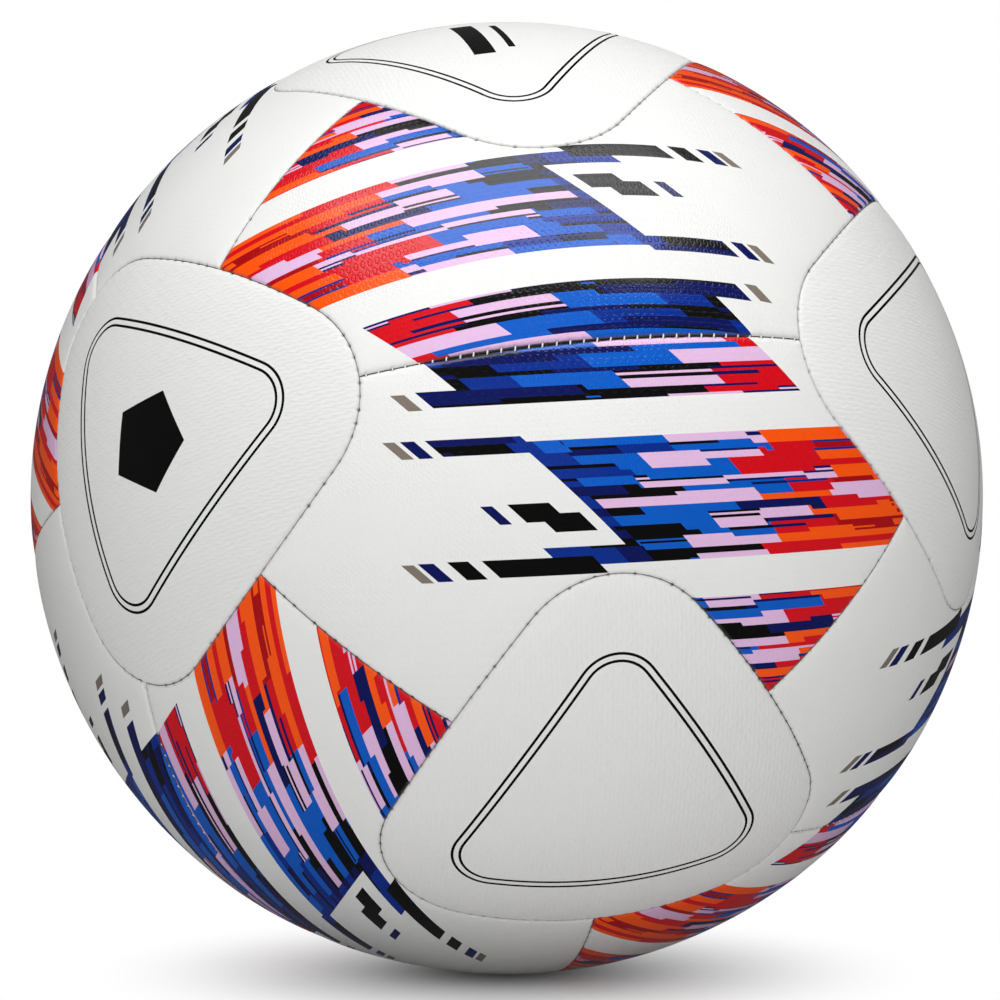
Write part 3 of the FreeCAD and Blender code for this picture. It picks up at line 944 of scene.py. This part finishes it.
def side_panel_seams():
    """Seams round a side panel whose orange end is at (-1, 1, 1) and dashed end at (1, -1, 1)."""
    face = (0, 0, 1)
    orange, dashed, apex = (-1, 1, 1), (1, -1, 1), (1, 1, 1)
    straight = DIAGONAL_HALF_ANGLE - TIP_ANGLE
    edge = EDGE_HALF_ANGLE - REACH_ANGLE
    half = STITCHES_PER_THIRD // 2
    return [
        StraightSeam(face, (1, 1, 0), straight, STITCHES_ON_DIAGONAL, OPEN_SEAM),
        RoundSeam(dashed, face, 0.0, -THIRD / 2, half, PLAIN_SEAM),
        StraightSeam((1, 0, 1), (-1, 0, 1), edge, STITCHES_ON_EDGE, PLAIN_SEAM),
        RoundSeam(apex, face, THIRD / 2, -THIRD / 2, 2 * half, PLAIN_SEAM),
        StraightSeam((0, 1, 1), (0, -1, 1), edge, STITCHES_ON_EDGE, PLAIN_SEAM),
        RoundSeam(orange, face, THIRD / 2, 0.0, half, PLAIN_SEAM),
    ]


def triangle_seam():
    return RoundSeam((0, 0, 1), (1, 0, 0), 0.0, 3 * THIRD, 3 * STITCHES_PER_THIRD, PLAIN_SEAM)


# How much the printed bands bend away from the diagonal seam, in w per square of u.
PRINT_BEND = 0.0026
# How far a side panel's print sits off its usual place: rise in degrees of w, and tilt in w per u.
PRINT_SHIFTS = {"front_by_lower_front": (0.15, 0.035)}


def side_places(points):
    """u and w of points on a side panel, in degrees, with the bands' slight bend taken out."""
    along = points @ unit((1, -1, 0))
    up = points @ unit((1, 1, 0))
    u = np.degrees(np.arctan2(along, points[:, 2]))
    w = np.degrees(np.arcsin(up)) + PRINT_BEND * u ** 2
    return np.stack([u, w], -1)


def corner_turn(name):
    """Rotation that puts +Z on a cube corner and +X towards the middle of a face."""
    z_axis = corner(name)
    x_axis = unit(np.array([z_axis[0], 0, 0]) - z_axis * z_axis[0] ** 2)
    return np.stack([x_axis, np.cross(z_axis, x_axis), z_axis], -1)


def side_turn(orange, dashed, apex):
    """Turn of a side panel's own corners to these. Half of the panels are mirrored by it."""
    own = np.array([(-1, 1, 1), (1, -1, 1), (1, 1, 1)]).T
    return np.array([CORNERS[orange], CORNERS[dashed], CORNERS[apex]]).T @ np.linalg.inv(own)


def add_cover(node, layout, turn, places, material, rim=None):
    """A leather cover, from its kind's shared layout turned to its place."""
    points = layout["points"] @ turn.T
    stitch = layout["stitch"] @ turn.T
    strength = scatter(stitch, salt=1.7)
    strength = np.where(strength < SLACK_STITCHES, SLACK_PULL, strength) * (layout["opening"] > 0)
    nearest = layout["margins"].min(0)
    opened = beside_stitch(layout, STITCH_OPENING_SIZE) * layout["opening"] * strength
    curl = YAWN_LEAST + YAWN_SPREAD * scatter(stitch, salt=9.3)
    opened += layout["yawn"] * np.exp(-nearest / YAWN_WIDTH) * curl
    sideways = layout["sideways"] @ turn.T
    moved = unit(points + sideways * (opened / RADIUS)[:, None])
    top = moved * (RADIUS + cover_heights(layout, points, strength))[:, None]
    under = layout["under"] @ turn.T * (RADIUS - COVER_THICKNESS)
    faces = layout["faces"]
    if np.linalg.det(turn) < 0:
        faces = [face[::-1] for face in faces]
    mesh = new_mesh(node, np.concatenate([top, under]), faces)
    # Painted shade, with some dirt, in the stitch holes: darker where a stitch pulls harder.
    along, away = STITCH_HOLE_SIZE
    hole = np.exp(-(layout["along"] / along) ** 2 - (nearest / away) ** 2) * strength
    hole = np.concatenate([hole, np.zeros(len(under))])
    attribute(mesh, "stitch_hole_shade_and_dirt", hole)
    edge = np.concatenate([nearest, layout["under_margins"].min(0)])[:, None]
    attribute(mesh, "cover_place", np.concatenate([places, edge], -1))
    if rim is not None:
        attribute(mesh, "cover_rim", rim)
    new_piece("cover_" + node, mesh, material, node)


def smooth_path(points, closed):
    """Twice as many points, on a curve through the given ones."""
    before, after = (points[-1:], points[:2]) if closed else (points[:1], points[-1:])
    padded = np.concatenate([before, points, after])
    halfway = (9 * (padded[1:-2] + padded[2:-1]) - padded[:-3] - padded[3:]) / 16
    path = np.stack([points[:len(halfway)], halfway], 1).reshape(-1, 3)
    return path if closed else np.concatenate([path, points[-1:]])


TUBE_SIDES = 6


def tube(path, radius, closed):
    """Vertices, faces and lengths along of a round tube."""
    ahead = np.roll(path, -1, 0) - path
    behind = path - np.roll(path, 1, 0)
    if not closed:
        ahead[-1], behind[0] = behind[-1], ahead[0]
    tangent = unit(unit(ahead) + unit(behind))
    sides = np.zeros_like(path)
    side = np.cross(tangent[0], unit(path[0]))
    for number, direction in enumerate(tangent):
        side = side - direction * np.dot(side, direction)
        side = side / np.linalg.norm(side)
        sides[number] = side
    other = np.cross(tangent, sides)
    count = len(path)
    turns = np.arange(TUBE_SIDES) * 2 * math.pi / TUBE_SIDES
    ring = np.cos(turns)[:, None] * sides[:, None] + np.sin(turns)[:, None] * other[:, None]
    vertices = (path[:, None] + radius * ring).reshape(-1, 3)
    here = np.arange(count)[:, None] * TUBE_SIDES + np.arange(TUBE_SIDES)
    after = np.roll(here, -1, 0)
    faces = np.stack([here, np.roll(here, -1, 1), np.roll(after, -1, 1), after], -1)
    if not closed:
        faces = faces[:-1]
    faces = faces.reshape(-1, 4).tolist()
    if not closed:
        faces += [here[0][::-1].tolist(), here[-1].tolist()]
    steps = np.linalg.norm(np.diff(path, axis=0), axis=1)
    lengths = np.concatenate([[0], np.cumsum(steps)]).repeat(TUBE_SIDES)
    return vertices, faces, lengths


# One stitch of the running thread: part of the pitch from the stitch's centre, place across the
# seam, and depth under the crossing's own level.
STITCH_PATH = (
    (-0.08, -1.0, 0.9), (-0.05, -0.62, 0.14), (0.0, 0.0, 0.0), (0.05, 0.62, 0.14), (0.08, 1.0, 0.9),
    (0.33, 0.55, 1.6), (0.67, -0.55, 1.6),
)
THREAD_RADIUS = 0.2
# How far a stitch wanders, as part of the pitch and in depth.
STITCH_WANDER = 0.05
DEPTH_WANDER = 0.08


def sewn_thread(seam, turn):
    """Path of a thread that crosses its seam at each stitch and runs on under the covers."""
    pitch = seam.length / seam.stitches
    centres = (np.arange(seam.stitches) + 0.5) * pitch
    wander = scatter(seam.at(centres)[0] @ turn.T, salt=5.1) - 0.5
    path = []
    for part, across, depth in STITCH_PATH:
        s = (centres + (part + STITCH_WANDER * wander) * pitch) % seam.length
        level = RADIUS - seam.look["thread"] - depth - DEPTH_WANDER * (wander + 0.5)
        path.append(beside(*seam.at(s), across) * level[:, None])
    path = np.stack(path, 1).reshape(-1, 3) @ turn.T
    if not seam.closed:
        path = path[:-2]
    return smooth_path(path, seam.closed)


def add_threads(name, node, seams, material):
    """All threads of one kind of seam as a piece. seams holds (seam, turn) pairs."""
    vertices, faces, lengths, start = [], [], [], 0
    for seam, turn in seams:
        tube_vertices, tube_faces, along = tube(sewn_thread(seam, turn), THREAD_RADIUS, seam.closed)
        vertices.append(tube_vertices)
        faces += [[v + start for v in face] for face in tube_faces]
        lengths.append(along)
        start += len(tube_vertices)
    mesh = new_mesh(name, np.concatenate(vertices), faces)
    attribute(mesh, "thread_place", np.concatenate(lengths))
    new_piece(name, mesh, material, node)


turn_of_ball = ball_turn()
TRIANGLE_MARKS = {"left": "pentagon", "top": "bars"}
# How far the print of a triangle panel sits off its centre, in millimetres along its own x and y.
PRINT_OFFSETS = {
    "top": (0.0, -2.5),
    "left": (-1.0, 1.0),
    "lower_front": (-1.0, 0.0),
    "right": (-1.5, -0.5),
}
triangle_materials = {
    mark: white_leather("white_leather" + ("_" + mark if mark else ""), mark)
    for mark in ("", "pentagon", "bars")
}
plain_layout = panel_layout([[triangle_seam()]], (0, 0, 1))
holed_layout = panel_layout([[triangle_seam()], [HoleEdge(HOLE_RADIUS, HOLE_EDGE)]], (0, 0, 1))
for name in CORNERS:
    layout = holed_layout if name == VALVE_CORNER else plain_layout
    flat = np.concatenate([layout["points"], layout["under"]])[:, :2] * RADIUS
    flat = flat - PRINT_OFFSETS.get(name, (0.0, 0.0))
    rim = outline_distance(PRINT_TRIANGLE, flat)[0]
    add_cover(
        "triangle_panel_" + name, layout, turn_of_ball @ corner_turn(name), flat,
        triangle_materials[TRIANGLE_MARKS.get(name, "")], rim,
    )

side_layout = panel_layout([side_panel_seams()], (0.4, 0.4, 1))
places = side_places(np.concatenate([side_layout["points"], side_layout["under"]]))
side_material = printed_leather()
for name, ends in SIDE_PANELS.items():
    rise, tilt = PRINT_SHIFTS.get(name, (0.0, 0.0))
    shifted = places + np.stack([0 * places[:, 0], rise + tilt * places[:, 0]], -1)
    add_cover(
        "side_panel_" + name, side_layout, turn_of_ball @ side_turn(*ends), shifted,
        side_material,
    )

waxed_thread = thread_material()
add_threads(
    "triangle_stitches", "triangle_seam_threads",
    [(triangle_seam(), turn_of_ball @ corner_turn(name)) for name in CORNERS], waxed_thread,
)
diagonal, _, first_edge, _, second_edge, _ = side_panel_seams()
# Two side panels share each diagonal and each edge, which is sewn once.
seen, diagonals, edges = [], [], []
for ends in SIDE_PANELS.values():
    turn = turn_of_ball @ side_turn(*ends)
    for seam, found in ((diagonal, diagonals), (first_edge, edges), (second_edge, edges)):
        middle = turn @ seam.middle
        if all(np.dot(middle, other) < 0.999 for other in seen):
            seen.append(middle)
            found.append((seam, turn))
add_threads("diagonal_stitches", "diagonal_seam_threads", diagonals, waxed_thread)
add_threads("edge_stitches", "edge_seam_threads", edges, waxed_thread)

# The pieces inside keep their CAD shapes.
inner_materials = {
    ("triangle_foam_pads", "side_foam_pads"): simple_material(
        "pale_foam", colour(238, 232, 214), colour(205, 196, 172), 0.85, 1500.0, 0.0003),
    ("triangle_cloth_linings", "side_cloth_linings"): woven_material(
        "lining_cloth", colour(224, 220, 206), colour(168, 162, 146), 800.0),
    ("bladder",): simple_material(
        "butyl_rubber", colour(38, 38, 38), colour(24, 24, 24), 0.5, 300.0, 0.0001),
    ("balance_patch", "valve_reinforcing_patch"): simple_material(
        "patch_rubber", colour(52, 50, 48), colour(34, 33, 32), 0.6, 900.0, 0.0001),
    ("valve_body",): simple_material(
        "valve_rubber", colour(222, 221, 214), colour(196, 194, 186), 0.5, 1200.0, 0.00003),
    ("valve_core",): simple_material(
        "core_rubber", colour(48, 46, 46), colour(28, 27, 27), 0.55, 1500.0, 0.00004),
}
for nodes, material in inner_materials.items():
    for node in nodes:
        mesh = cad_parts[node].data
        mesh.materials.clear()
        mesh.materials.append(material)

# ---- studio -----------------------------------------------------------------------------------

# Camera distance is in radii of the ball. Other lengths of the studio are in metres.
CAMERA_DISTANCE = 10.838
CAMERA_ELEVATION = math.radians(3)
CAMERA_LENS = 185.1
CAMERA_SHIFT = (-0.007, -0.0017)
# The floor lies this little under the ball, and turns to plain white over this distance.
FLOOR_SIZE = 30.0
FLOOR_GAP = 0.0002
FLOOR_SHADE_REACH = 0.1
# Strength of the white all around, as light and in glossy surfaces.
WORLD_LIGHT = 0.157
WORLD_MIRRORED = 0.06
# Place, size, power in watts, and whether it shows in glossy surfaces.
SOFTBOXES = {
    "overhead_softbox": ((0.0, -0.3, 1.5), (2.0, 1.2), 22.5, True),
    "front_softbox": ((0.0, -1.4, 1.2), (1.4, 1.4), 8.4, False),
    "low_softbox": ((0.0, -2.0, 0.2), (1.4, 1.4), 15.4, False),
    "back_softbox": ((0.0, 2.2, 0.4), (1.6, 1.6), 18.0, False),
}


def add_floor():
    """Pale floor that brightens to plain white away from the ball."""
    bpy.ops.mesh.primitive_plane_add(size=FLOOR_SIZE, location=(0, 0, cad_box[0].z - FLOOR_GAP))
    floor = bpy.context.object
    floor.name = "floor"
    paint = Painter("pale_floor")
    x, y, _ = paint.split(paint.place())
    seen = Value(paint.tree, paint.tree.nodes.new("ShaderNodeLightPath").outputs["Is Camera Ray"])
    away = (x * x + y * y).root().fade(0.0, FLOOR_SHADE_REACH) * seen
    speck = paint.noise(40.0, 3.0)
    paint.set(
        Base_Color=paint.mix(speck * 0.1, (0.66, 0.66, 0.66), (0.6, 0.6, 0.6)), Roughness=0.9,
        Specular_IOR_Level=0.0,
    )
    glow = paint.tree.nodes.new("ShaderNodeEmission")
    blend = paint.tree.nodes.new("ShaderNodeMixShader")
    output = paint.tree.nodes["Material Output"]
    paint.tree.links.new(away.socket, blend.inputs[0])
    paint.tree.links.new(paint.shader.outputs[0], blend.inputs[1])
    paint.tree.links.new(glow.outputs[0], blend.inputs[2])
    paint.tree.links.new(blend.outputs[0], output.inputs[0])
    floor.data.materials.append(paint.material)
    floor.visible_glossy = False


def add_world():
    """Plain white behind the ball, a softer white as light, and a dim one in glossy surfaces."""
    world = bpy.data.worlds.new("studio")
    world.use_nodes = True
    tree = world.node_tree
    path = tree.nodes.new("ShaderNodeLightPath")
    seen = Value(tree, path.outputs["Is Camera Ray"])
    mirrored = Value(tree, path.outputs["Is Glossy Ray"])
    background = tree.nodes["Background"]
    background.inputs["Color"].default_value = (1, 1, 1, 1)
    level = seen * (1 - WORLD_LIGHT) + mirrored * (WORLD_MIRRORED - WORLD_LIGHT) + WORLD_LIGHT
    tree.links.new(level.socket, background.inputs["Strength"])
    bpy.context.scene.world = world


def add_softbox(name, location, size, power, mirrored):
    """Rectangular area light that faces the ball, shown in glossy surfaces if mirrored."""
    light = bpy.data.lights.new(name, "AREA")
    light.shape = "RECTANGLE"
    light.size, light.size_y = size
    light.energy = power
    lamp = bpy.data.objects.new(name, light)
    lamp.location = location
    lamp.rotation_euler = (-Vector(location)).to_track_quat("-Z", "Y").to_euler()
    lamp.visible_glossy = mirrored
    bpy.context.scene.collection.objects.link(lamp)


def add_camera():
    camera = bpy.data.objects.new("camera", bpy.data.cameras.new("camera"))
    distance = CAMERA_DISTANCE * RADIUS * MM
    direction = Vector((0, -math.cos(CAMERA_ELEVATION), math.sin(CAMERA_ELEVATION)))
    camera.location = direction * distance
    camera.rotation_euler = (-direction).to_track_quat("-Z", "Y").to_euler()
    camera.data.lens = CAMERA_LENS
    camera.data.shift_x, camera.data.shift_y = CAMERA_SHIFT
    bpy.context.scene.collection.objects.link(camera)
    bpy.context.scene.camera = camera


add_floor()
add_world()
for name, softbox in SOFTBOXES.items():
    add_softbox(name, *softbox)
add_camera()
bpy.context.scene.view_settings.view_transform = "Standard"

bpy.context.view_layer.update()
